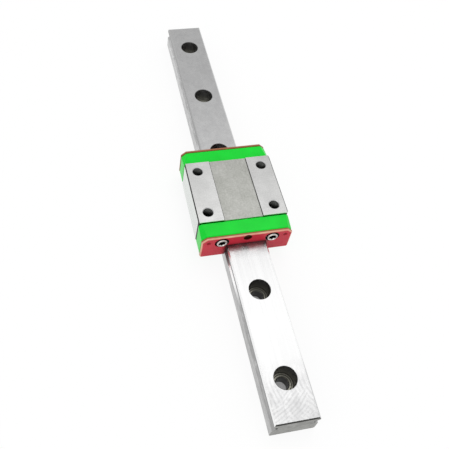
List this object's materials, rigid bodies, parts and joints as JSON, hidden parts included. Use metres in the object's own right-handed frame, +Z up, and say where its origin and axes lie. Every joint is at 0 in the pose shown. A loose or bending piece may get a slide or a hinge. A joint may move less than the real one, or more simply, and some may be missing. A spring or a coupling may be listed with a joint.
{
  "type": "linear guide rail",
  "caption": "Miniature profile rail with counterbored mounting holes and a short ball bearing carriage that slides along it, with coloured end caps and wiping seals.",
  "frame": {"origin": "middle of the rail's underside", "axes": "+Y along the rail away from the end seen in the picture's foreground, +X across the rail, +Z up through the carriage's pads"},
  "size_m": [0.027, 0.147, 0.013],
  "materials": {
    "rail_steel": "fine ground, bright",
    "block_steel": "ground, satin",
    "green_plastic": "moulded, glossy",
    "red_plastic": "moulded, semi gloss",
    "screw_steel": "bright stainless",
    "wire_steel": "drawn spring wire",
    "guide_plastic": "moulded, matt",
    "ball_steel": "polished"
  },
  "bodies": {
    "rail": {"rail": "rail_steel"},
    "carriage": {"ball_left_01": "ball_steel", "ball_left_02": "ball_steel", "ball_left_03": "ball_steel", "ball_left_04": "ball_steel", "ball_left_05": "ball_steel", "ball_left_06": "ball_steel", "ball_left_07": "ball_steel", "ball_left_08": "ball_steel", "ball_left_09": "ball_steel", "ball_left_10": "ball_steel", "ball_left_11": "ball_steel", "ball_left_12": "ball_steel", "ball_left_13": "ball_steel", "ball_left_14": "ball_steel", "ball_left_15": "ball_steel", "ball_left_16": "ball_steel", "ball_left_17": "ball_steel", "ball_left_18": "ball_steel", "ball_retainer_left": "wire_steel", "ball_retainer_right": "wire_steel", "ball_right_01": "ball_steel", "ball_right_02": "ball_steel", "ball_right_03": "ball_steel", "ball_right_04": "ball_steel", "ball_right_05": "ball_steel", "ball_right_06": "ball_steel", "ball_right_07": "ball_steel", "ball_right_08": "ball_steel", "ball_right_09": "ball_steel", "ball_right_10": "ball_steel", "ball_right_11": "ball_steel", "ball_right_12": "ball_steel", "ball_right_13": "ball_steel", "ball_right_14": "ball_steel", "ball_right_15": "ball_steel", "ball_right_16": "ball_steel", "ball_right_17": "ball_steel", "ball_right_18": "ball_steel", "carriage_block": "block_steel", "end_screw_front_left": "screw_steel", "end_screw_front_right": "screw_steel", "end_screw_rear_left": "screw_steel", "end_screw_rear_right": "screw_steel", "front_end_cap": "green_plastic", "front_end_seal": "red_plastic", "rear_end_cap": "green_plastic", "rear_end_seal": "red_plastic", "return_guide_front_left": "guide_plastic", "return_guide_front_right": "guide_plastic", "return_guide_rear_left": "guide_plastic", "return_guide_rear_right": "guide_plastic"}
  },
  "joints": [
    {"name": "carriage_slide", "type": "slide", "parent": "rail", "child": "carriage", "axis": [0, 1, 0], "range_m": [-0.0505, 0.0625]}
  ]
}
